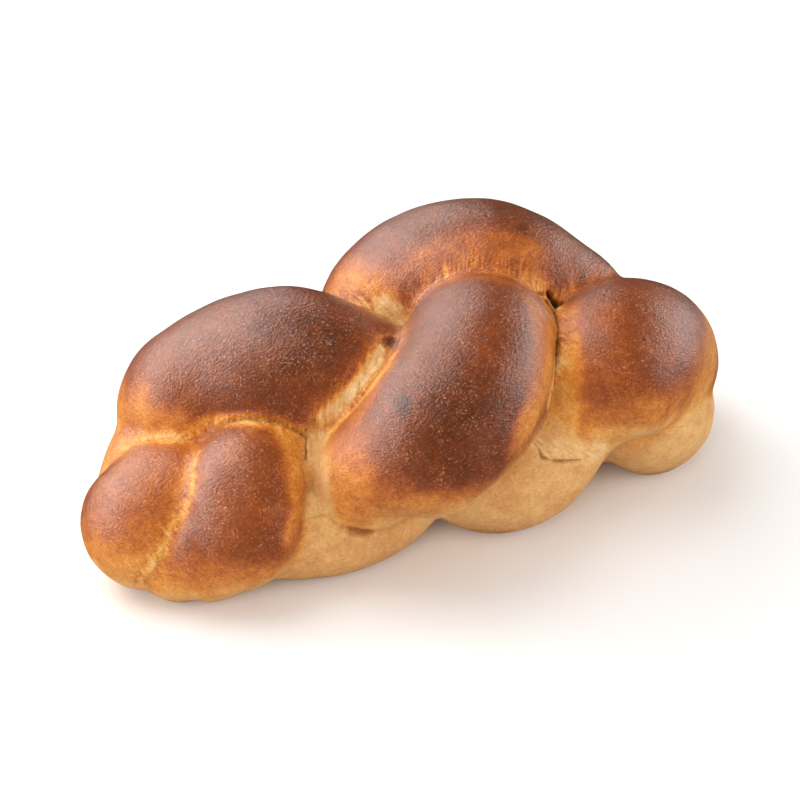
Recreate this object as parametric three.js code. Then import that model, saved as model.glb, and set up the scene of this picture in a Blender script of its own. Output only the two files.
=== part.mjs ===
// A small plaited milk loaf. Three rolled strands of sweet white dough run the length of the loaf and cross
// over one another six times. Each strand comes up through the middle, swells into a fat lobe over one side,
// turns down round that side's edge, passes underneath and comes up again to make a lobe on the other side.
// Both ends are pinched and tucked under. Risen and baked, the strands have grown into one body, so the loaf
// is one closed solid with deep creases between its lobes and a flat, tray-pressed base.
// Units are millimetres. +X runs along the loaf to its broad end, +Z is up, and the base lies on Z = 0 with
// the origin under the middle of the loaf.
import * as THREE from "three";

// Driving dimensions
const FOOT_SPREAD = 2.5; // how far the round undersides of the strands slump onto the tray
const FOOT_HEIGHT = 4; // the slump fades away over this height
const GROWN_TOGETHER = 3; // how softly two strands that touch run into each other
const STEPS_PER_STATION = 7; // how finely each strand is followed between its stations
const SKIN_RINGS = 56; // rings of the skin along the straight part of the heart line
const CAP_RINGS = 11; // rings of the skin round each end
const RING_POINTS = 60; // points of the skin round each ring
const REACH = 90; // farther from the heart line than any point of the loaf
const CLOSE_ENOUGH = 0.01; // how near to the skin a ray's search for it ends
const EASINGS = 1; // how often the skin is eased between neighbouring rays
const SETTLING_ROUNDS = 30; // enough for the search for the tray's height to settle

const CRUST_COLOUR = 0x9a4f24;
const CRUST_ROUGHNESS = 0.38;

// Each strand is laid by hand, so its run is a list of stations, from the broad end to the narrow one:
// [along the loaf, across it, up, girth], where girth is the strand's radius there.
const FRONT_TO_BACK = [
  [97, 3, 24, 20], // tucked into the broad end
  [91, -9, 36, 28], // broad end lobe, on the front
  [68, -22, 47, 29],
  [51, -24, 35, 21], // turns down round the front edge
  [29, -27, 20.5, 21], // passes underneath
  [5, -13, 24, 18],
  [-5, -8, 40.5, 25], // comes up through the middle
  [-38, 15, 53.5, 31], // lobe over the back
  [-64, 28.5, 45, 26.5],
  [-80, 23.5, 27, 20], // turns down round the back edge
  [-101, 5, 20, 16], // tucked into the narrow end
];
const UNDER_TO_FRONT = [
  [101, -3, 20, 18],
  [88, -20.5, 22, 22.5], // starts underneath, at the front
  [76, -3, 36, 22],
  [66, 9, 53.5, 25], // comes up through the middle
  [42, 23.5, 63, 31.3], // highest lobe, over the back
  [16.5, 35.2, 54.2, 28.2],
  [3, 25, 30, 22], // turns down round the back edge
  [-15, 15, 21, 20], // passes underneath
  [-39, -3, 26, 18],
  [-63, -12, 38, 19.5], // comes up through the middle
  [-71.5, -19, 26.5, 22.3], // small lobe on the front
  [-82, -17, 19.5, 19],
  [-91, -12.5, 16, 16],
];
const BACK_TO_TIP = [
  [99, 9, 22, 20],
  [77, 21, 24, 23], // starts underneath, at the back
  [49, 3, 28, 20],
  [24, -11, 60, 27], // comes up through the middle
  [9, -28, 58, 27.5], // great lobe over the front
  [-12, -36, 50.5, 26.5],
  [-27, -31, 41, 19.5], // turns down round the front edge
  [-28, -18, 25, 17], // passes underneath
  [-46, -14, 20, 17],
  [-65, -11, 20, 17.5],
  [-86.5, 2.5, 25, 22.3], // lobe at the narrow tip
  [-97.3, -0.5, 22.6, 22.3],
];
// Where the great lobe's end is tucked under, it has spread along the tray.
const SPREAD_FOLD = [
  [-1, -8, 20, 16],
  [-13, -16.5, 19, 18.5],
  [-33, -22.5, 19.5, 19.5],
  [-48, -19.5, 19, 19],
  [-63, -13, 19, 18],
];
// Underneath, the crossings have spread on the tray and closed up along the middle of the loaf.
const CLOSED_MIDDLE = [
  [77, -1, 28, 30],
  [27, 1, 25, 29],
  [-33, 1, 24, 28],
  [-81, -1, 20, 20],
  [-91, -9, 16, 16],
];
// A straight line inside the dough from one end to the other, which the skin is measured from.
const HEART_NARROW = new THREE.Vector3(-86, 0, 20);
const HEART_BROAD = new THREE.Vector3(86, -2, 29);

// A strand as a chain of balls, close enough together to be smooth.
function ballsOf(stations) {
  const line = new THREE.CatmullRomCurve3(
    stations.map(([x, y, z]) => new THREE.Vector3(x, y, z)),
    false,
    "centripetal",
  );
  const spans = stations.length - 1;
  const balls = [];
  for (let i = 0; i <= spans * STEPS_PER_STATION; i++) {
    const at = i / STEPS_PER_STATION;
    const from = Math.min(Math.floor(at), spans - 1);
    const girth = THREE.MathUtils.lerp(
      stations[from][3],
      stations[from + 1][3],
      THREE.MathUtils.smoothstep(at - from, 0, 1),
    );
    balls.push({ centre: line.getPoint(at / spans), girth });
  }
  return balls;
}

// How far a point lies outside a strand, or below nought inside it.
function distanceToStrand(point, balls) {
  return Math.min(...balls.map(({ centre, girth }) => point.distanceTo(centre) - girth));
}

// How far a point lies outside the dough. Where two strands are equally near, they run together.
function distanceToDough(point, strands) {
  return strands
    .map((balls) => distanceToStrand(point, balls))
    .reduce((near, next) => {
      const together = Math.max(GROWN_TOGETHER - Math.abs(near - next), 0) / GROWN_TOGETHER;
      return Math.min(near, next) - (GROWN_TOGETHER * together * together) / 4;
    });
}

// How far out along a ray from the heart line the skin lies. The search comes in from outside.
function skinDistance(start, direction, strands) {
  const probe = new THREE.Vector3();
  let out = REACH;
  let gap = Infinity;
  while (gap > CLOSE_ENOUGH) {
    gap = distanceToDough(probe.copy(start).addScaledVector(direction, out), strands);
    out -= gap;
  }
  return out;
}

// The rings of rays: where each starts on the heart line, and how far it leans towards an end.
function ringLayout() {
  const rings = [];
  for (let i = 1; i <= CAP_RINGS; i++)
    rings.push({ along: 0, lean: (i / (CAP_RINGS + 1) - 1) * (Math.PI / 2) });
  for (let i = 0; i <= SKIN_RINGS; i++) rings.push({ along: i / SKIN_RINGS, lean: 0 });
  for (let i = 1; i <= CAP_RINGS; i++)
    rings.push({ along: 1, lean: (i / (CAP_RINGS + 1)) * (Math.PI / 2) });
  return rings;
}

// One ray, and how far out along it the skin lies.
function rayToSkin(along, lean, turn, strands) {
  const start = new THREE.Vector3().lerpVectors(HEART_NARROW, HEART_BROAD, along);
  const direction = new THREE.Vector3(
    Math.sin(lean),
    Math.cos(lean) * Math.cos(turn),
    Math.cos(lean) * Math.sin(turn),
  );
  return { start, direction, out: skinDistance(start, direction, strands) };
}

// Eases the skin between neighbouring rays, so that a lobe's overhang runs down into its crease.
function easeSkin(rays) {
  const before = rays.map((ring) => ring.map(({ out }) => out));
  rays.forEach((ring, i) =>
    ring.forEach((ray, j) => {
      const left = before[i][(j + RING_POINTS - 1) % RING_POINTS];
      const right = before[i][(j + 1) % RING_POINTS];
      const back = before[Math.max(i - 1, 0)][j];
      const on = before[Math.min(i + 1, rays.length - 1)][j];
      ray.out = before[i][j] / 2 + (left + right + back + on) / 8;
    }),
  );
}

// How far dough at this height sinks as the loaf slumps onto the tray.
function slump(height) {
  return FOOT_SPREAD * Math.exp(-height / FOOT_HEIGHT);
}

// The height from which the slump brings the dough right down to the tray.
function trayHeight() {
  let height = 0;
  for (let i = 0; i < SETTLING_ROUNDS; i++) height = slump(height);
  return height;
}

// Where a ray meets the slumped skin, or the tray if that comes first.
function skinPoint({ start, direction, out }) {
  const tray = trayHeight();
  const point = start.clone().addScaledVector(direction, out);
  if (point.z > tray) {
    point.z -= slump(point.z);
    return point;
  }
  point.copy(start).addScaledVector(direction, (start.z - tray) / -direction.z);
  point.z = 0;
  return point;
}

// One closed skin round the dough: a point at each end and rings of points between them.
function skinGeometry(strands) {
  const rays = ringLayout().map(({ along, lean }) =>
    Array.from({ length: RING_POINTS }, (_, j) =>
      rayToSkin(along, lean, (j * 2 * Math.PI) / RING_POINTS, strands),
    ),
  );
  for (let i = 0; i < EASINGS; i++) easeSkin(rays);
  const places = [
    skinPoint(rayToSkin(0, -Math.PI / 2, 0, strands)),
    ...rays.flat().map(skinPoint),
    skinPoint(rayToSkin(1, Math.PI / 2, 0, strands)),
  ];

  const corner = (ring, j) => 1 + ring * RING_POINTS + (j % RING_POINTS);
  const last = places.length - 1;
  const triangles = [];
  for (let j = 0; j < RING_POINTS; j++) {
    triangles.push(0, corner(0, j + 1), corner(0, j));
    triangles.push(last, corner(rays.length - 1, j), corner(rays.length - 1, j + 1));
    for (let i = 0; i < rays.length - 1; i++) {
      triangles.push(corner(i, j), corner(i, j + 1), corner(i + 1, j + 1));
      triangles.push(corner(i, j), corner(i + 1, j + 1), corner(i + 1, j));
    }
  }
  const skin = new THREE.BufferGeometry().setFromPoints(places).setIndex(triangles);
  skin.computeVertexNormals();
  return skin;
}

const strands = [FRONT_TO_BACK, UNDER_TO_FRONT, BACK_TO_TIP, SPREAD_FOLD, CLOSED_MIDDLE].map(ballsOf);
const skin = skinGeometry(strands);
skin.computeBoundingBox();
const middle = skin.boundingBox.getCenter(new THREE.Vector3());

const loaf = new THREE.Mesh(
  skin,
  new THREE.MeshStandardMaterial({
    color: CRUST_COLOUR,
    roughness: CRUST_ROUGHNESS,
    metalness: 0,
  }),
);
loaf.name = "loaf";
loaf.position.set(-middle.x, -middle.y, 0);

const plaitedLoaf = new THREE.Group();
plaitedLoaf.add(loaf);
export default plaitedLoaf;
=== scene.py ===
"""A small plaited milk loaf, brushed with egg and baked to a deep chestnut gloss.

Three strands of sweet dough are rolled, laid over one another in a plait, left to rise until they have grown
together, and baked. Sizes are millimetres, turned to metres where they meet the mesh.
"""
import math

import bpy
import numpy as np
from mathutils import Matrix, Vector, noise
from mathutils.geometry import interpolate_bezier


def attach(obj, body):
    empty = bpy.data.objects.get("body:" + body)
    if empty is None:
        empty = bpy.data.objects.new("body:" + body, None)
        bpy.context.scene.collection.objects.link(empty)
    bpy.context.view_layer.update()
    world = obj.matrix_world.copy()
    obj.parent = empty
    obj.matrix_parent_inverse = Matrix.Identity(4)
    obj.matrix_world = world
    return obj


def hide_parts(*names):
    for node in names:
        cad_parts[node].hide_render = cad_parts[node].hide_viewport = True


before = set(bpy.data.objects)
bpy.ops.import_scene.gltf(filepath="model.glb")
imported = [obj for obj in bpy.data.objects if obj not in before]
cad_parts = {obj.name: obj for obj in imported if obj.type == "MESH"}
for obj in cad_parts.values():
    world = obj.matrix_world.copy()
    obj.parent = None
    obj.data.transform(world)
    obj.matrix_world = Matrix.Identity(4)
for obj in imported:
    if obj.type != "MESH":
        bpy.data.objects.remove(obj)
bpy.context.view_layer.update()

MM = 0.001

# ---------------------------------------------------------------------------------------------------------
# The strands, as they are rolled and laid from the broad end to the narrow one.
# Each station is [along, across, up, girth, browning, layer]: girth is the strand's radius, browning how dark
# its crown baked, from 0 for pale dough to 1 for the darkest crust, and layer ranks which strand lies over
# which where two meet.
# ---------------------------------------------------------------------------------------------------------
FRONT_TO_BACK = [
    [97, 3, 24, 20, 0.55, 3],
    [91, -9, 36, 28, 0.72, 3],
    [68, -22, 47, 29, 0.74, 3],
    [51, -24, 35, 21, 0.3, 2],
    [29, -27, 20.5, 21, 0.2, 0],
    [5, -13, 24, 18, 0.2, 0],
    [-5, -8, 40.5, 25, 0.75, 4],
    [-38, 15, 53.5, 31, 0.84, 4],
    [-64, 28.5, 45, 26.5, 0.72, 4],
    [-80, 23.5, 27, 20, 0.4, 1],
    [-101, 5, 20, 16, 0.4, 1],
]
UNDER_TO_FRONT = [
    [101, -3, 20, 18, 0.2, 0],
    [88, -20.5, 22, 22.5, 0.2, 0],
    [76, -3, 36, 22, 0.4, 1],
    [66, 9, 53.5, 25, 0.78, 2.5],
    [42, 23.5, 63, 31.3, 0.86, 2.5],
    [16.5, 35.2, 54.2, 28.2, 0.74, 2.5],
    [3, 25, 30, 22, 0.4, 1],
    [-15, 15, 21, 20, 0.2, 0],
    [-39, -3, 26, 18, 0.2, 0],
    [-63, -12, 38, 19.5, 0.66, 3.4],
    [-71.5, -19, 26.5, 22.3, 0.74, 6],
    [-82, -17, 19.5, 19, 0.6, 6],
    [-91, -12.5, 16, 16, 0.5, 6],
]
BACK_TO_TIP = [
    [99, 9, 22, 20, 0.3, 1],
    [77, 21, 24, 23, 0.2, 0],
    [49, 3, 28, 20, 0.2, 0],
    [24, -11, 60, 27, 0.82, 5],
    [9, -28, 58, 27.5, 0.84, 5],
    [-12, -36, 50.5, 26.5, 0.80, 5],
    [-27, -31, 41, 19.5, 0.66, 5],
    [-28, -18, 25, 17, 0.2, 0],
    [-46, -14, 20, 17, 0.2, 0],
    [-65, -11, 20, 17.5, 0.2, 0],
    [-86.5, 2.5, 25, 22.3, 0.56, 3.3],
    [-97.3, -0.5, 22.6, 22.3, 0.58, 5.5],
]
# Where the great lobe's end is tucked under, it has spread along the tray.
SPREAD_FOLD = [
    [-1, -8, 20, 16, 0.2, 0],
    [-13, -16.5, 19, 18.5, 0.2, 0],
    [-33, -22.5, 19.5, 19.5, 0.2, 0],
    [-48, -19.5, 19, 19, 0.2, 0],
    [-63, -13, 19, 18, 0.2, 0],
]
# Underneath, the crossings have spread on the tray and closed up along the middle of the loaf.
CLOSED_MIDDLE = [
    [77, -1, 28, 30, 0.2, 0],
    [27, 1, 25, 29, 0.2, 0],
    [-33, 1, 24, 28, 0.2, 0],
    [-81, -1, 20, 20, 0.4, 0],
    [-91, -9, 16, 16, 0.4, 0],
]
STRANDS = {
    "front_to_back": FRONT_TO_BACK,
    "under_to_front": UNDER_TO_FRONT,
    "back_to_tip": BACK_TO_TIP,
    "spread_fold": SPREAD_FOLD,
    "closed_middle": CLOSED_MIDDLE,
}
FOOT_SPREAD = 2.5  # how far the round undersides slump onto the tray
FOOT_HEIGHT = 4.0  # the slump fades away over this height
STEPS_PER_STATION = 12
SKIN_MESH = 1.3  # size of the skin's faces
RANDOM_SEED = 7
SWELL_SIZE, SWELL_RISE = 26.0, 0.7  # long swells in the dough
LUMP_SIZE, LUMP_RISE = 9.0, 0.22  # small lumps
DRAWN_RISE = 0.06  # fine ridges where the dough was drawn out
TORN_RISE = 0.18  # coarser ones where it tore
FINE_REACHES = (4.2, 2.6)  # faces within each of these of a crack or a scorch are halved again


def only(piece):
    """Selects this object and nothing else."""
    bpy.ops.object.select_all(action="DESELECT")
    piece.select_set(True)
    bpy.context.view_layer.objects.active = piece


def smooth(low, high, value):
    """0 at low, 1 at high and an S-curve between."""
    t = np.clip((value - low) / (high - low), 0.0, 1.0)
    return t * t * (3.0 - 2.0 * t)


# ---------------------------------------------------------------------------------------------------------
# Rolling and laying the dough
# ---------------------------------------------------------------------------------------------------------
def lay_strand(name, stations):
    """A strand as one round roll through its stations, and the points and girths along its middle."""
    bpy.ops.object.select_all(action="DESELECT")
    bpy.ops.curve.primitive_bezier_curve_add(radius=1.0)
    roll = bpy.context.object
    roll.name = name
    spline = roll.data.splines[0]
    spline.bezier_points.add(len(stations) - 2)
    for knot, (x, y, z, girth, *_) in zip(spline.bezier_points, stations):
        knot.co = Vector((x, y, z)) * MM
        knot.radius = girth
        knot.handle_left_type = "AUTO"
        knot.handle_right_type = "AUTO"
    spline.radius_interpolation = "EASE"
    spline.resolution_u = STEPS_PER_STATION
    roll.data.bevel_depth = MM
    roll.data.bevel_resolution = 24
    roll.data.use_fill_caps = True
    bpy.ops.object.mode_set(mode="EDIT")
    bpy.ops.curve.select_all(action="SELECT")
    bpy.ops.curve.handle_type_set(type="AUTOMATIC")
    bpy.ops.object.mode_set(mode="OBJECT")
    knots = roll.data.splines[0].bezier_points
    middle = []
    for i in range(len(stations) - 1):
        first, second = knots[i], knots[i + 1]
        run = interpolate_bezier(
            first.co, first.handle_right, second.handle_left, second.co, STEPS_PER_STATION + 1
        )
        for j, point in enumerate(run[:-1]):
            t = j / STEPS_PER_STATION
            ease = t * t * (3 - 2 * t)
            girth = stations[i][3] * (1 - ease) + stations[i + 1][3] * ease
            rest = [a * (1 - t) + b * t for a, b in zip(stations[i][4:], stations[i + 1][4:])]
            middle.append([*point, girth * MM, *rest])
    middle.append([*knots[-1].co, stations[-1][3] * MM, *stations[-1][4:]])
    only(roll)
    bpy.ops.object.convert(target="MESH")
    pieces = [bpy.context.object]
    for x, y, z, girth, *_ in (middle[0], middle[-1]):
        bpy.ops.mesh.primitive_uv_sphere_add(
            segments=48, ring_count=24, radius=girth, location=(x, y, z)
        )
        pieces.append(bpy.context.object)
    return pieces, np.array(middle)


def raise_dough():
    """All strands grown into one body with a fine even skin."""
    pieces, middles = [], {}
    for name, stations in STRANDS.items():
        rolls, middle = lay_strand(name, stations)
        pieces += rolls
        middles[name] = middle
    only(pieces[0])
    for piece in pieces:
        piece.select_set(True)
    bpy.ops.object.join()
    loaf = bpy.context.object
    loaf.name = "plaited_loaf"
    loaf.data.name = "plaited_loaf"
    bpy.ops.object.transform_apply(location=True, rotation=True, scale=True)
    skin = loaf.modifiers.new("skin", "REMESH")
    skin.mode = "VOXEL"
    skin.voxel_size = SKIN_MESH * MM
    bpy.ops.object.modifier_apply(modifier="skin")
    return loaf, middles


class Skin:
    """The loaf's mesh as arrays, for working the crust point by point."""

    def __init__(self, loaf):
        mesh = loaf.data
        self.mesh = mesh
        self.count = len(mesh.vertices)
        self.points = np.zeros(self.count * 3)
        mesh.vertices.foreach_get("co", self.points)
        self.points = self.points.reshape(-1, 3)
        edges = np.zeros(len(mesh.edges) * 2, np.int64)
        mesh.edges.foreach_get("vertices", edges)
        self.a, self.b = edges.reshape(-1, 2).T
        mesh.calc_loop_triangles()
        corners = np.zeros(len(mesh.loop_triangles) * 3, np.int64)
        mesh.loop_triangles.foreach_get("vertices", corners)
        self.triangles = corners.reshape(-1, 3)

    def normals(self):
        """Each point's outward direction, from the faces round it."""
        p = self.points[self.triangles]
        face = np.cross(p[:, 1] - p[:, 0], p[:, 2] - p[:, 0])
        total = np.zeros((self.count, 3))
        for axis in range(3):
            for corner in range(3):
                total[:, axis] += np.bincount(self.triangles[:, corner], face[:, axis], self.count)
        return total / np.linalg.norm(total, axis=1, keepdims=True).clip(1e-12)

    def eased(self, values, times, weight=None):
        """Values averaged with their neighbours', so many times."""
        w = np.ones(len(self.a)) if weight is None else weight
        total = np.bincount(self.a, w, self.count) + np.bincount(self.b, w, self.count)
        table = values.reshape(self.count, -1).copy()
        for _ in range(times):
            for column in range(table.shape[1]):
                v = table[:, column]
                near = np.bincount(self.a, w * v[self.b], self.count)
                near += np.bincount(self.b, w * v[self.a], self.count)
                table[:, column] = 0.5 * v + 0.5 * near / total.clip(1e-12)
        return table.reshape(values.shape)

    def keep(self):
        """Puts the points back in the mesh."""
        self.mesh.vertices.foreach_set("co", self.points.ravel())
        self.mesh.update()

    def noted(self, name):
        """Reads back a value stored for each point."""
        values = np.empty(self.count, np.float32)
        self.mesh.attributes[name].data.foreach_get("value", values)
        return values.astype(float)

    def note(self, name, values):
        """Stores a value or a place for each point, which the crust's material reads."""
        if name in self.mesh.attributes:
            self.mesh.attributes[name].data.foreach_set("value", values.astype(np.float32))
        elif values.ndim == 1:
            layer = self.mesh.attributes.new(name, "FLOAT", "POINT")
            layer.data.foreach_set("value", values.astype(np.float32))
        else:
            layer = self.mesh.attributes.new(name, "FLOAT_VECTOR", "POINT")
            layer.data.foreach_set("vector", values.astype(np.float32).ravel())


def frames_along(middle):
    """At each point of a strand's middle: the length so far, the way it runs and two directions across it."""
    centre = middle[:, :3]
    step = np.linalg.norm(np.diff(centre, axis=0), axis=1)
    length = np.concatenate([[0.0], step.cumsum()])
    run = np.gradient(centre, axis=0)
    run /= np.linalg.norm(run, axis=1, keepdims=True)
    side = np.empty_like(run)
    side[0] = np.cross(run[0], (0.0, 0.0, 1.0))
    for i in range(1, len(run)):
        side[i] = side[i - 1] - run[i] * (side[i - 1] @ run[i])
        side[i] /= np.linalg.norm(side[i])
    return length, run, side, np.cross(run, side)


def look_up(points, middle, chunk=20000):
    """For each point, how far it is outside a strand's skin, the browning and layer of the strand at the
    nearest place, and where the point is on the strand: along it and in two directions across it."""
    far = np.empty(len(points))
    rest = np.empty((len(points), 5))
    length, run, side, other = frames_along(middle)
    for i in range(0, len(points), chunk):
        gap = points[i : i + chunk, None, :] - middle[None, :, :3]
        depth = np.sqrt((gap * gap).sum(2)) - middle[None, :, 3]
        nearest = depth.argmin(1)
        rows = np.arange(len(nearest))
        offset = gap[rows, nearest]
        far[i : i + chunk] = depth[rows, nearest]
        rest[i : i + chunk, :2] = middle[nearest, 4:]
        rest[i : i + chunk, 2] = length[nearest] + (offset * run[nearest]).sum(1)
        rest[i : i + chunk, 3] = (offset * side[nearest]).sum(1)
        rest[i : i + chunk, 4] = (offset * other[nearest]).sum(1)
    return far, rest


# ---------------------------------------------------------------------------------------------------------
# Places on the crust, as routes of points in millimetres
# ---------------------------------------------------------------------------------------------------------
# The great lobe: its orange rim, the dark undercut beside it and the thin lip on its other side
GREAT_LOBE_RIM = [
    (47, -7, 79.6), (51.4, -6.5, 73.5), (47.4, -16.7, 73.3), (42, -27, 71.6),
    (35.6, -37, 69.6), (30, -45, 66), (23, -51, 63.7), (16, -55, 60),
]
GREAT_LOBE_EDGE = [
    (53, -11.8, 71.5), (52.8, -14.6, 67.5), (49, -22.3, 64.6), (44, -29, 63),
    (38, -36.4, 62.4), (34, -42, 60.8), (31, -45.4, 57.8),
]
GREAT_LOBE_LIP = [
    (-11, -16, 73.6), (-18, -22, 73), (-24, -26, 71), (-28, -24, 65), (-32, -23, 60), (-36, -22, 56.5),
    (-39, -21, 53), (-42, -23, 50.5),
]
# The valleys and ledges between the lobes
BACK_VALLEY = [(-12, -10, 73), (-16, -13, 73), (-20, -16, 71), (-27, -19, 67), (-33, -19, 62), (-39, -18, 58)]
BACK_LOBE_FOOT = [
    (-97, 23, 39), (-92, 18, 42), (-88, 14, 44.5), (-84, 8, 47), (-78.5, 6, 47.5), (-71.5, 4, 53),
    (-68, 0, 55), (-63, -6, 57), (-58, -11, 57), (-53, -14, 56), (-47, -15, 53),
]
TIP_VALLEY = [
    (-79, -6, 49), (-84, -12, 46.5), (-87, -17, 43), (-90, -19, 38), (-95, -20, 34), (-99.5, -22, 29),
    (-104, -22, 23), (-107, -19, 15),
]
SMALL_LOBE_RIM = [
    (-53, -19, 54), (-52.5, -23.4, 50.7), (-54, -28, 45.5), (-55, -31, 40), (-57, -35, 36), (-61, -39, 31),
]
SHELTERED_GAP = [
    (-42, -19, 50), (-44, -24, 48), (-46, -30, 46.6), (-47, -32, 42), (-47, -32, 36), (-49, -33.4, 32),
]
END_LOBE_FLANK = [(56, -18, 68), (50, -30, 65), (46, -36, 58), (43.5, -39, 47.5), (41, -41, 41.6)]
END_LOBE_LEDGE = [
    (30.4, -40.4, 38.4), (34, -43, 36.8), (39, -44.6, 35.4), (44.6, -45.4, 33.6), (53, -45, 30.5),
]
LEDGE_TEAR = [
    (30.2, -41.6, 37.4), (30.7, -43.6, 34.9), (34.8, -44.9, 33.1), (39.2, -46, 32.3), (44.2, -46.2, 31.2),
]
GAP_TEAR = [(-55, -34.5, 31), (-52, -33.6, 31), (-48, -34.6, 31.7), (-46, -36.3, 31), (-44.4, -37.6, 29)]
HIGH_LOBE_ARCH = [(14.6, 16, 83), (22.7, 12.7, 87), (30.6, 10.3, 89.4), (40.6, 6.6, 90), (49, 1, 87)]
HIGH_LOBE_CORNER = [(1.6, 18, 70), (4.2, 14.4, 68), (4.7, 12, 65.4)]
# How brown the crust is along each route: (route, radius, browning, strength)
BROWNING = [
    ([(-7, -51, 75)], 22, 1.00, 0.6),  # the great lobe's crown
    ([(-18, -58, 60), (2, -58, 54)], 14, 0.92, 0.6),
    ([(-40, -4, 79)], 24, 0.98, 0.6),  # the back lobe's crown
    ([(46, 16, 93)], 15, 0.92, 0.5),  # the highest lobe's crown
    (HIGH_LOBE_ARCH, 11, 0.42, 0.7),  # drawn out over the great lobe
    ([(-6, 37.6, 70.4), (-4.6, 28.6, 71), (-0.5, 21, 70.7)], 15, 0.38, 0.85),
    ([(66, 6, 80), (60, -1, 82)], 11, 0.62, 0.6),  # its right shoulder
    (HIGH_LOBE_CORNER, 4.5, 0.10, 0.9),
    ([(62, -9, 77.5), (69, -8, 76.7), (78, -6.7, 73.6), (85, -3, 66)], 6, 0.62, 0.7),
    (END_LOBE_FLANK, 8.5, 0.30, 0.9),
    ([(64.6, -23, 72.7), (58, -35, 69.5), (54, -42, 63), (50, -45.4, 54)], 9, 0.64, 0.7),
    ([(54, -46, 44), (68, -49, 46), (80, -47, 43)], 13, 0.44, 0.7),
    ([(52, -44.5, 38), (60, -47, 38), (72, -45, 34), (80, -45.5, 36)], 6, 0.28, 0.8),
    ([(97, -39, 50), (89, -45, 43)], 12, 0.46, 0.7),
    ([(112, -22, 50), (106, -31, 46), (98, -39, 38)], 14, 0.30, 0.85),
    ([(-43, -35, 51), (-42, -43, 45)], 19, 0.40, 0.85),  # the great lobe's lower end
    ([(-29, -53.5, 39), (-17, -59, 40)], 12, 0.42, 0.75),
    ([(-2.6, -5, 74), (-16, -21, 75.5), (-26, -28, 71), (-34, -30, 62)], 6, 0.46, 0.7),
    ([(17.5, 5.5, 81), (23.5, -0.5, 85), (30, -5, 85.5), (37, -9.5, 83.5)], 5, 0.46, 0.6),
    ([(39.5, -18.5, 80.5), (35, -31, 77.5), (25, -47.5, 69), (12.5, -57.5, 55.5)], 7.5, 0.44, 0.75),
    (GREAT_LOBE_RIM, 7, 0.38, 0.9),
    (GREAT_LOBE_EDGE, 3, 0.16, 0.9),
    (SMALL_LOBE_RIM, 5.5, 0.35, 0.9),
    ([(-52, -40, 14), (-38, -42, 14), (-22, -42, 14)], 13, 0.33, 0.7),  # the tucked fold under the great lobe
    ([(-37, -41.5, 22.5), (-44, -40.5, 21)], 5, 0.40, 0.6),
    ([(17.5, -44.5, 21)], 7, 0.38, 0.5),  # toasted patches on the fold under the end lobe
    ([(33, -46, 20), (38, -44, 14)], 7, 0.34, 0.5),
    ([(-87, -35.5, 21), (-75, -39.7, 17.6)], 10, 0.45, 0.7),
    ([(-84, -34, 8), (-72, -33, 6)], 13, 0.33, 0.8),
    ([(-116, -14, 14), (-105, -24, 8)], 20, 0.30, 0.8),  # low on the tip
    ([(-91, 36, 47.6), (-94, 33.6, 37)], 13, 0.34, 0.8),  # the back lobe's end
    ([(-88, 23, 55)], 9, 0.38, 0.7),
    ([(-91.4, 26, 48), (-81, 9.5, 50.7)], 8, 0.36, 0.7),
    (BACK_LOBE_FOOT, 3.5, 0.30, 0.9),
    (TIP_VALLEY, 5, 0.44, 0.6),
    (TIP_VALLEY, 1.8, 0.28, 0.9),
    (BACK_VALLEY, 8, 0.38, 0.7),
    (BACK_VALLEY, 3.4, 0.13, 0.95),
    (GREAT_LOBE_LIP, 2.2, 0.27, 0.9),
    (SHELTERED_GAP, 6.5, 0.20, 0.95),
    (END_LOBE_LEDGE, 5.5, 0.14, 0.95),
]
# Dough that the egg never reached, because it lay sheltered or was torn open: (route, radius)
UNWASHED = [
    (SHELTERED_GAP, 7), (END_LOBE_LEDGE, 6), (BACK_VALLEY, 2.4), (HIGH_LOBE_CORNER, 5),
]
# Dough torn into shreds as the loaf rose: (route, radius, strength)
TORN = [
    (BACK_VALLEY, 5, 1.4),
    (HIGH_LOBE_CORNER, 4, 0.5),
    (BACK_LOBE_FOOT, 3.5, 0.5),
    (TIP_VALLEY, 3.5, 0.8),
    (END_LOBE_LEDGE, 4, 0.8),
]
# Cracks along the creases where two strands meet: (route, reach, half width, depth)
CREASE_CRACKS = [
    (GREAT_LOBE_EDGE, 4.5, 1.0, 2.6),
    ([(-67.6, 0, 55), (-61, -8, 57), (-53.5, -14.5, 56), (-47, -15, 53)], 5.0, 1.0, 1.4),
    (SMALL_LOBE_RIM[1:], 6.0, 0.9, 1.0),
]
# Other cracks and tears: (route, half width, depth)
TEARS = [
    ([(52.6, -7.5, 74), (54, -9.4, 70.8)], 1.0, 4.5),  # the hole where three lobes meet
    ([(45, -8.4, 79), (48, -8.8, 77), (52, -6.8, 73.2)], 0.5, 1.4),
    ([(-44.6, -16.4, 53.6), (-45.4, -17.7, 50.5), (-46.8, -20.6, 48.8), (-48, -23.3, 47.4)], 0.5, 1.7),
    (LEDGE_TEAR, 0.5, 1.4),
    ([(44.2, -46.2, 31.2), (48.3, -46, 30.1), (51.1, -45.4, 29.2)], 0.4, 0.5),
    (GAP_TEAR, 0.4, 0.6),
    ([(-43, -39.4, 28), (-40, -40.4, 27), (-36.6, -41.4, 25.7), (-33.5, -42.5, 25.6)], 0.6, 1.0),
    ([(-89, 15, 44), (-86.5, 12, 45)], 0.4, 0.8),
    ([(-79.5, 6.5, 47.5), (-77.5, 5.5, 48)], 0.4, 0.8),
]
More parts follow.
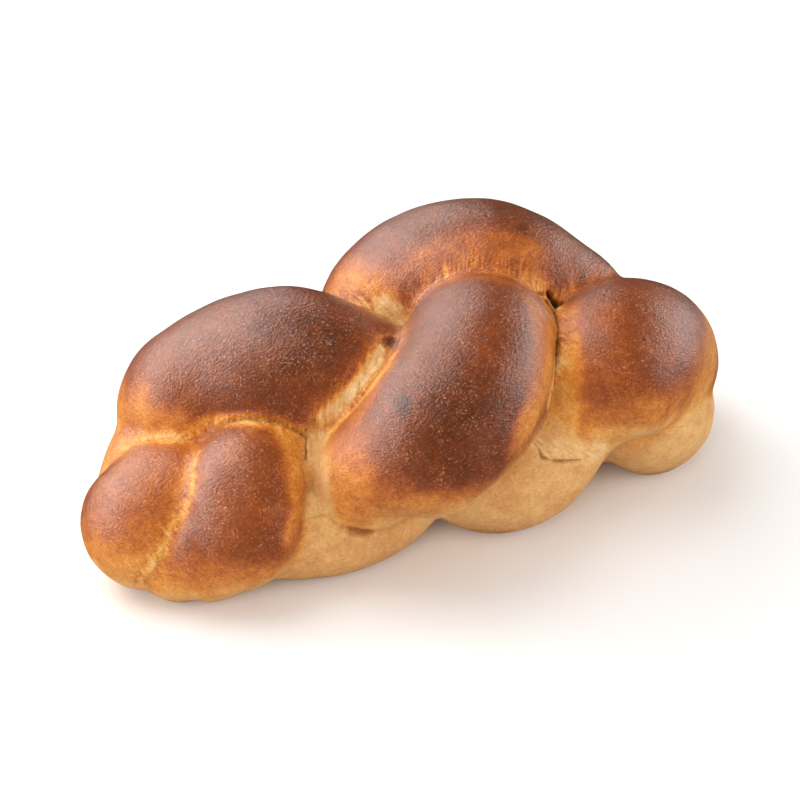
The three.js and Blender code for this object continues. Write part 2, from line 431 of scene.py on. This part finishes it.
# Scorched specks and smudges: (route, radius, darkening)
SCORCHES = [
    ([(-21.4, -42.6, 74.5), (-22.9, -43, 73.5), (-22.5, -45.5, 72.9)], 2.2, 0.40),
    ([(-11, -8.7, 73.7), (-8.4, -7.7, 73.1)], 2.6, 0.55),
    ([(51.3, 9.8, 91.5)], 3.5, 0.18),
    ([(-40, -40.4, 26.5), (-34.5, -42, 25)], 2.4, 0.28),
    ([(90, -11, 68)], 0.9, 1.0),
    ([(71, -40, 69)], 0.9, 1.0),
    ([(33.5, -42.5, 60.5)], 0.9, 1.0),
    ([(29, -47, 57)], 0.9, 1.0),
]


def gap_to(points, route, normals=None):
    """Each point's distance in millimetres to a route of straight stretches. With normals given, the part of
    the gap that runs up or down through the skin counts little, so that a route may pass just under it."""
    route = np.array(route, float) * MM
    nearest = np.full(len(points), np.inf)
    for start, end in zip(route[:-1], route[1:]) if len(route) > 1 else [(route[0], route[0])]:
        stretch = end - start
        t = ((points - start) @ stretch / max(stretch @ stretch, 1e-12)).clip(0.0, 1.0)
        gap = points - start - t[:, None] * stretch
        if normals is not None:
            gap -= 0.75 * (gap * normals).sum(1)[:, None] * normals
        nearest = np.minimum(nearest, np.linalg.norm(gap, axis=1))
    return nearest / MM


def split_faces_near(loaf, routes, reach):
    """Halves the size of the faces within reach of these routes."""
    mesh = loaf.data
    centres = np.empty(len(mesh.polygons) * 3)
    mesh.polygons.foreach_get("center", centres)
    centres = centres.reshape(-1, 3)
    near = np.zeros(len(centres), bool)
    for route in routes:
        near |= gap_to(centres, route) < reach
    only(loaf)
    bpy.ops.object.mode_set(mode="EDIT")
    bpy.ops.mesh.select_mode(type="FACE")
    bpy.ops.mesh.select_all(action="DESELECT")
    bpy.ops.object.mode_set(mode="OBJECT")
    mesh.polygons.foreach_set("select", near)
    bpy.ops.object.mode_set(mode="EDIT")
    bpy.ops.mesh.subdivide(number_cuts=1, smoothness=0.0)
    bpy.ops.object.mode_set(mode="OBJECT")


def perlin(points, size, seed):
    """Soft three-dimensional noise with features of this size, between about -1 and 1."""
    shift = Vector((seed * 3.7, seed * 1.3, seed * 2.1))
    scale = 1.0 / (size * MM)
    return np.array([noise.noise(Vector(p) * scale + shift) for p in points])


loaf, middles = raise_dough()
skin = Skin(loaf)
skin.points = skin.eased(skin.points, 4)
height = skin.points[:, 2]
height -= FOOT_SPREAD * MM * np.exp(-height.clip(0.0) / (FOOT_HEIGHT * MM))
skin.points[:, 2] = height.clip(0.0)

names = list(middles)
looks = [look_up(skin.points, middles[name]) for name in names]
far = np.array([look[0] for look in looks])
rest = np.array([look[1] for look in looks])
order = far.argsort(0)
every = np.arange(skin.count)
crown = skin.eased(rest[order[0], every, 0], 20)
over = smooth(-0.6, 0.6, rest[order[0], every, 1] - rest[order[1], every, 1])
away = (far[order[1], every] - far[order[0], every]) / MM
same_strand = (order[0][skin.a] == order[0][skin.b]) + 1e-6
strand_place = skin.eased(rest[order[0], every, 2:], 6, same_strand)

normals = skin.normals()
wide = skin.eased(skin.points, 100)
relief = ((skin.points - wide) * normals).sum(1) / MM
crease = smooth(0.15, -1.6, relief)
rng = np.random.default_rng(RANDOM_SEED)

# Close the ragged line where two strands meet
calm = skin.eased(skin.points, 10)
skin.points += (calm - skin.points) * crease[:, None]

# The dough is uneven: long swells, small lumps
swell = perlin(skin.points, SWELL_SIZE, 1)
lumps = perlin(skin.points, LUMP_SIZE, 2)
off_tray = smooth(0.5 * MM, 5.0 * MM, skin.points[:, 2])
skin.points += normals * ((SWELL_RISE * swell + LUMP_RISE * lumps) * off_tray * MM)[:, None]

# Dough that was drawn out towards a crease has fine ridges running down into it
slope = np.zeros((skin.count, 3))
along = skin.points[skin.b] - skin.points[skin.a]
length2 = (along * along).sum(1).clip(1e-12)
rise = (relief[skin.b] - relief[skin.a]) / length2
for axis in range(3):
    slope[:, axis] += np.bincount(skin.a, rise * along[:, axis], skin.count)
    slope[:, axis] += np.bincount(skin.b, rise * along[:, axis], skin.count)
slope = skin.eased(slope, 10)
slope /= np.linalg.norm(slope, axis=1, keepdims=True).clip(1e-9)
middle_slope = 0.5 * (slope[skin.a] + slope[skin.b])
alignment = ((middle_slope * along).sum(1) ** 2) / length2
ridges = skin.eased(rng.standard_normal(skin.count), 14, 0.03 + alignment**3)
ridges -= skin.eased(ridges, 8)
ridges /= ridges.std()
drawn = smooth(12.0, 3.0, away) * (1.0 - over) * smooth(0.58, 0.74, crown)
torn = np.zeros(skin.count)
for route, radius, strength in TORN:
    torn = np.maximum(torn, strength * smooth(1.0, 0.5, gap_to(skin.points, route) / radius))
drawn = np.maximum(drawn, torn)
ridge_rise = (DRAWN_RISE * drawn + TORN_RISE * torn) * MM
skin.points += normals * (ridge_rise * ridges.clip(-2.5, 2.5))[:, None]

# Browning: brown crowns, golden where another strand lay beside or over the dough, tan underneath
normals = skin.normals()
calm_up = skin.eased(normals, 16)[:, 2]
high = skin.points[:, 2] / MM
top_heat = smooth(-0.80, 0.35, calm_up)
rim = 0.62 + 0.38 * smooth(0.0, 5.0, away)
under_edge = 0.42 + 0.58 * smooth(0.0, 7.0, away)
edge = skin.eased(rim * over + under_edge * (1.0 - over), 4)
underneath = 0.22 + 0.16 * smooth(7.0, 0.5, high)
bake = underneath + (crown - underneath).clip(0.0) * top_heat * edge
for route, radius, browning, strength in BROWNING:
    bake += (browning - bake) * strength * smooth(1.15, 0.25, gap_to(skin.points, route) / radius)
bake += 0.08 * perlin(skin.points, 14.0, 5) + 0.06 * perlin(skin.points, 5.0, 6)
skin.note("bake", bake)
washed = smooth(0.25, 0.5, crown) * smooth(-0.8, -0.1, calm_up) * smooth(0.12, 0.34, bake)
for route, radius in UNWASHED:
    washed *= smooth(0.5, 1.0, gap_to(skin.points, route) / radius)
skin.note("egg_wash", skin.eased(washed, 4))
skin.note("drawn", drawn)
skin.note("strand_place", strand_place)
skin.note("away", away)
skin.keep()

# Cracks, tears and scorched specks, on faces small enough for them, and a mask of how deep each point lies in
# a crack, which the crust uses for painted shade in the cracks
fine_places = [route for route, *_ in CREASE_CRACKS + TEARS + SCORCHES]
for reach in FINE_REACHES:
    split_faces_near(loaf, fine_places, reach)
skin = Skin(loaf)
normals = skin.normals()
ragged = 0.5 * perlin(skin.points, 2.2, 8)
depth = np.zeros(skin.count)
for route, half_width, deep in TEARS:
    gap = gap_to(skin.points, route, normals) + ragged
    depth = np.maximum(depth, deep * np.exp(-((gap.clip(0.0) / half_width) ** 2)))
away = skin.noted("away")
for route, reach, half_width, deep in CREASE_CRACKS:
    fade = smooth(1.0, 0.6, gap_to(skin.points, route, normals) / reach)
    depth = np.maximum(depth, deep * fade * np.exp(-((away / half_width) ** 2)))
skin.points -= normals * (depth * MM)[:, None]
bake = skin.noted("bake")
for route, radius, darkening in SCORCHES:
    bake += darkening * smooth(1.2, 0.2, gap_to(skin.points, route) / radius)
skin.note("bake", bake)
# How deep each point is sunk into a crack or tear: the material darkens the crust by this, as painted shade
# in the cracks
skin.note("crack", smooth(0.3, 2.5, depth))
skin.keep()
only(loaf)
bpy.ops.object.shade_smooth()


# ---------------------------------------------------------------------------------------------------------
# Materials
# ---------------------------------------------------------------------------------------------------------
def linear(hex_colour):
    """An sRGB hex colour as the linear colour that the shader mixes."""
    channels = [int(hex_colour[i : i + 2], 16) / 255 for i in (1, 3, 5)]
    low_end = 0.04045
    return [c / 12.92 if c <= low_end else ((c + 0.055) / 1.055) ** 2.4 for c in channels] + [1.0]


def add(tree, kind, settings=None, links=None):
    """Adds a node with its settings, and links its inputs to other nodes' outputs."""
    node = tree.nodes.new(kind)
    for key, value in (settings or {}).items():
        if key in node.inputs:
            node.inputs[key].default_value = value
        else:
            setattr(node, key, value)
    for key, source in (links or {}).items():
        tree.links.new(source, node.inputs[key])
    return node


WRINKLE_WIDTH = 0.65  # short wrinkles in the dried glaze
STREAK_WIDTH = 0.9  # streaks round the strand in drawn-out skin
BLISTER_SPACING = 1.1
SPECK_SIZE = 0.8
BUMP_HEIGHT = 0.36  # relief too fine for the mesh


def crust_material():
    """Egg-washed bread crust: a hard satin glaze over sugar-browned dough, from chestnut on the crowns
    through amber to pale straw where the dough was drawn out or sheltered, with pinhead blisters all over,
    and painted shade that darkens the cracks."""
    material = bpy.data.materials.new("egg_washed_crust")
    material.use_nodes = True
    tree = material.node_tree
    tree.nodes.clear()
    place = add(tree, "ShaderNodeTexCoord").outputs["Object"]
    bake = add(tree, "ShaderNodeAttribute", {"attribute_name": "bake"}).outputs["Fac"]
    wash = add(tree, "ShaderNodeAttribute", {"attribute_name": "egg_wash"}).outputs["Fac"]
    drawn = add(tree, "ShaderNodeAttribute", {"attribute_name": "drawn"}).outputs["Fac"]
    # The crack mask, which paints shade into the cracks below
    crack = add(tree, "ShaderNodeAttribute", {"attribute_name": "crack"}).outputs["Fac"]
    on_strand = add(tree, "ShaderNodeAttribute", {"attribute_name": "strand_place"}).outputs["Vector"]

    def sums(operation, first, second):
        """One step of arithmetic on two values or node outputs."""
        node = add(tree, "ShaderNodeMath", {"operation": operation})
        for socket, value in zip(node.inputs, (first, second)):
            if isinstance(value, (int, float)):
                socket.default_value = value
            else:
                tree.links.new(value, socket)
        return node.outputs[0]

    def grain(size, vector, detail=3.0, roughness=0.55):
        """Noise with features of this size in millimetres, from 0 to 1 about 0.5."""
        settings = {"Scale": 1.0 / (size * MM), "Detail": detail, "Roughness": roughness}
        return add(tree, "ShaderNodeTexNoise", settings, {"Vector": vector}).outputs["Fac"]

    def spread(value, low, high, to_low=0.0, to_high=1.0):
        """Maps low..high to to_low..to_high and stops at the ends."""
        settings = {"From Min": low, "From Max": high, "To Min": to_low, "To Max": to_high}
        return add(tree, "ShaderNodeMapRange", settings, {"Value": value}).outputs[0]

    # The glaze dried in short wrinkles about 0.6 mm wide and twice as long
    leaning = add(
        tree,
        "ShaderNodeMapping",
        {"Rotation": (0.0, math.radians(40.0), math.radians(-20.0)), "Scale": (0.45, 1.0, 1.0)},
        {"Vector": place},
    ).outputs[0]
    wrinkles = grain(WRINKLE_WIDTH, leaning, 2.0, 0.6)

    # Where the dough was drawn out, its skin tore into fine streaks that run round the strand
    round_strand = add(
        tree, "ShaderNodeMapping", {"Scale": (1.0, 0.13, 0.13)}, {"Vector": on_strand}
    ).outputs[0]
    streaks = sums("SUBTRACT", grain(STREAK_WIDTH, round_strand, 2.0, 0.5), 0.5)
    streaks = sums("MULTIPLY", streaks, spread(drawn, 0.0, 1.0, 0.15, 1.0))

    # Browning: the worked bake, mottled, and streaked along the drawn-out ridges
    mottled = bake
    for size, amount in ((3.5, 0.24), (1.3, 0.26)):
        step = sums("MULTIPLY", sums("SUBTRACT", grain(size, place), 0.5), amount)
        mottled = sums("ADD", mottled, step)
    mottled = sums("ADD", mottled, sums("MULTIPLY", sums("SUBTRACT", wrinkles, 0.5), 0.30))
    mottled = sums("ADD", mottled, sums("MULTIPLY", streaks, 0.8))

    # Blisters: pinheads about 1 mm apart, each with its own strength, which stay pale
    spacing = {"Scale": 1.0 / (BLISTER_SPACING * MM), "Randomness": 1.0}
    cells = add(tree, "ShaderNodeTexVoronoi", spacing, {"Vector": place})
    chance = add(tree, "ShaderNodeSeparateColor", links={"Color": cells.outputs["Color"]}).outputs["Red"]
    dot = spread(cells.outputs["Distance"], 0.40, 0.12)
    blister = sums("MULTIPLY", dot, spread(chance, 0.45, 1.0))
    specks = spread(grain(SPECK_SIZE, place, 1.0), 0.56, 0.76)
    pale = sums("ADD", sums("MULTIPLY", blister, 0.40), sums("MULTIPLY", specks, 0.34))
    pale = sums("MULTIPLY", pale, spread(bake, 0.25, 0.65, 0.15, 1.0))
    pale = sums("MULTIPLY", pale, spread(grain(8.0, place, 1.0), 0.38, 0.62, 0.35, 1.25))

    def colours(stops):
        """The crust's colour at each degree of browning."""
        ramp = add(tree, "ShaderNodeValToRGB", links={"Fac": mottled})
        elements = ramp.color_ramp.elements
        while len(elements) < len(stops):
            elements.new(0.5)
        for element, (position, colour) in zip(elements, stops):
            element.position = position
            element.color = linear(colour)
        return ramp.outputs["Color"]

    glazed = colours([
        (0.00, "#efcb93"),
        (0.12, "#eabb71"),
        (0.25, "#e2a44c"),
        (0.38, "#d4812a"),
        (0.52, "#b35d1b"),
        (0.68, "#8e4211"),
        (0.84, "#75330d"),
        (1.00, "#54260c"),
    ])
    bare = colours([
        (0.00, "#ebc592"),
        (0.15, "#e0b071"),
        (0.30, "#d2985a"),
        (0.50, "#b27a42"),
        (0.75, "#875527"),
        (1.00, "#5b3319"),
    ])
    dough = add(
        tree, "ShaderNodeMix", {"data_type": "RGBA"}, {"Factor": wash, "A": bare, "B": glazed}
    ).outputs["Result"]

    speckled = add(
        tree, "ShaderNodeMix", {"data_type": "RGBA", "B": linear("#d69a6c")}, {"Factor": pale, "A": dough}
    ).outputs["Result"]
    # Painted shade: deep in the cracks and tears the crust is darkened towards near-black brown, where shade
    # falls
    crack_painted_shade = add(
        tree,
        "ShaderNodeMix",
        {"data_type": "RGBA", "B": linear("#3f2010")},
        {"Factor": sums("MULTIPLY", crack, 0.85), "A": speckled},
    )

    # Wrinkles, blisters and streaks, raised
    bumps = sums("ADD", sums("MULTIPLY", blister, 0.35), wrinkles)
    bumps = sums("ADD", bumps, sums("MULTIPLY", grain(2.2, place, 2.0), 0.5))
    bumps = sums("ADD", bumps, sums("MULTIPLY", streaks, 0.8))
    bump = add(tree, "ShaderNodeBump", {"Strength": 1.0, "Distance": BUMP_HEIGHT * MM}, {"Height": bumps})
    # The glaze is thickest and hardest on the dark crowns, and thin on the golden rims
    gloss = sums("MULTIPLY", wash, spread(bake, 0.30, 0.55, 0.45, 1.0))
    roughness = spread(gloss, 0.0, 1.0, 0.75, 0.34)
    patchy = sums("MULTIPLY", sums("SUBTRACT", grain(2.6, place), 0.5), 0.25)
    roughness = sums("ADD", roughness, patchy)
    shader = add(
        tree,
        "ShaderNodeBsdfPrincipled",
        {"IOR": 1.45, "Coat Roughness": 0.27, "Coat IOR": 1.5},
        {
            "Base Color": crack_painted_shade.outputs["Result"],
            "Roughness": roughness,
            "Normal": bump.outputs["Normal"],
            "Coat Weight": gloss,
            "Coat Normal": bump.outputs["Normal"],
        },
    )
    add(tree, "ShaderNodeOutputMaterial", links={"Surface": shader.outputs[0]})
    return material


loaf.data.materials.clear()
loaf.data.materials.append(crust_material())
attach(loaf, "root")
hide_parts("loaf")


# ---------------------------------------------------------------------------------------------------------
# Stage, light and camera
# ---------------------------------------------------------------------------------------------------------
FLOOR_SIZE = 6.0


def plain_material(name, colour, roughness):
    """An even, unpatterned finish."""
    material = bpy.data.materials.new(name)
    material.use_nodes = True
    shader = material.node_tree.nodes["Principled BSDF"]
    shader.inputs["Base Color"].default_value = linear(colour)
    shader.inputs["Roughness"].default_value = roughness
    return material


bpy.ops.object.select_all(action="DESELECT")
bpy.ops.mesh.primitive_plane_add(size=FLOOR_SIZE, location=(0, 0, 0))
floor = bpy.context.object
floor.name = "studio_floor"
floor.data.materials.append(plain_material("matt_white_floor", "#f4f3f1", 0.9))


def soft_light(name, place, aim, size, power):
    """A white softbox of this size in metres and power in watts, turned towards its aim."""
    bpy.ops.object.light_add(type="AREA", location=place)
    light = bpy.context.object
    light.name = name
    light.data.shape = "RECTANGLE"
    light.data.size, light.data.size_y = size
    light.data.energy = power
    light.rotation_euler = (Vector(aim) - Vector(place)).to_track_quat("-Z", "Y").to_euler()
    return light


AIM = Vector((-3.0, -3.0, 44.2)) * MM
# The back and side boxes draw the sheen on the crowns; the others only lighten the dough and the floor
soft_light("back_softbox", (-0.45, 1.10, 0.70), AIM, (2.8, 1.0), 17.0)
soft_light("back_left_softbox", (-0.72, 1.00, 0.78), AIM, (0.8, 0.8), 5.0)
soft_light("left_softbox", (-1.30, 0.35, 0.32), AIM, (1.2, 0.8), 8.5)
soft_light("top_softbox", (-0.36, 0.28, 1.10), AIM, (0.8, 0.7), 5.0)
soft_light("right_softbox", (1.22, -0.10, 0.26), AIM, (1.5, 0.8), 7.5)
for name, spot, size, power in (
    ("overhead_light", (0.0, 0.0, 2.4), (3.0, 3.0), 18.0),
    ("front_left_fill", (-0.9, -1.0, 0.8), (1.0, 0.8), 10.5),
    ("front_right_fill", (0.9, -1.0, 0.7), (1.0, 0.8), 8.0),
):
    soft_light(name, spot, AIM, size, power).visible_glossy = False
floor.visible_glossy = False

world = bpy.data.worlds.new("studio")
bpy.context.scene.world = world
world.use_nodes = True
world.node_tree.nodes["Background"].inputs["Color"].default_value = linear("#ffffff")
world.node_tree.nodes["Background"].inputs["Strength"].default_value = 0.05

AZIMUTH = math.radians(-27.0)
ELEVATION = math.radians(35.0)
DISTANCE = 0.8
LENS = 104.4
bpy.ops.object.camera_add()
camera = bpy.context.object
back = Vector((
    math.sin(AZIMUTH) * math.cos(ELEVATION),
    -math.cos(AZIMUTH) * math.cos(ELEVATION),
    math.sin(ELEVATION),
))
camera.location = AIM + back * DISTANCE
camera.rotation_euler = (-back).to_track_quat("-Z", "Y").to_euler()
camera.data.sensor_width = 36.0
camera.data.lens = LENS
camera.data.clip_start = 0.01
bpy.context.scene.camera = camera
bpy.context.scene.view_settings.view_transform = "Standard"
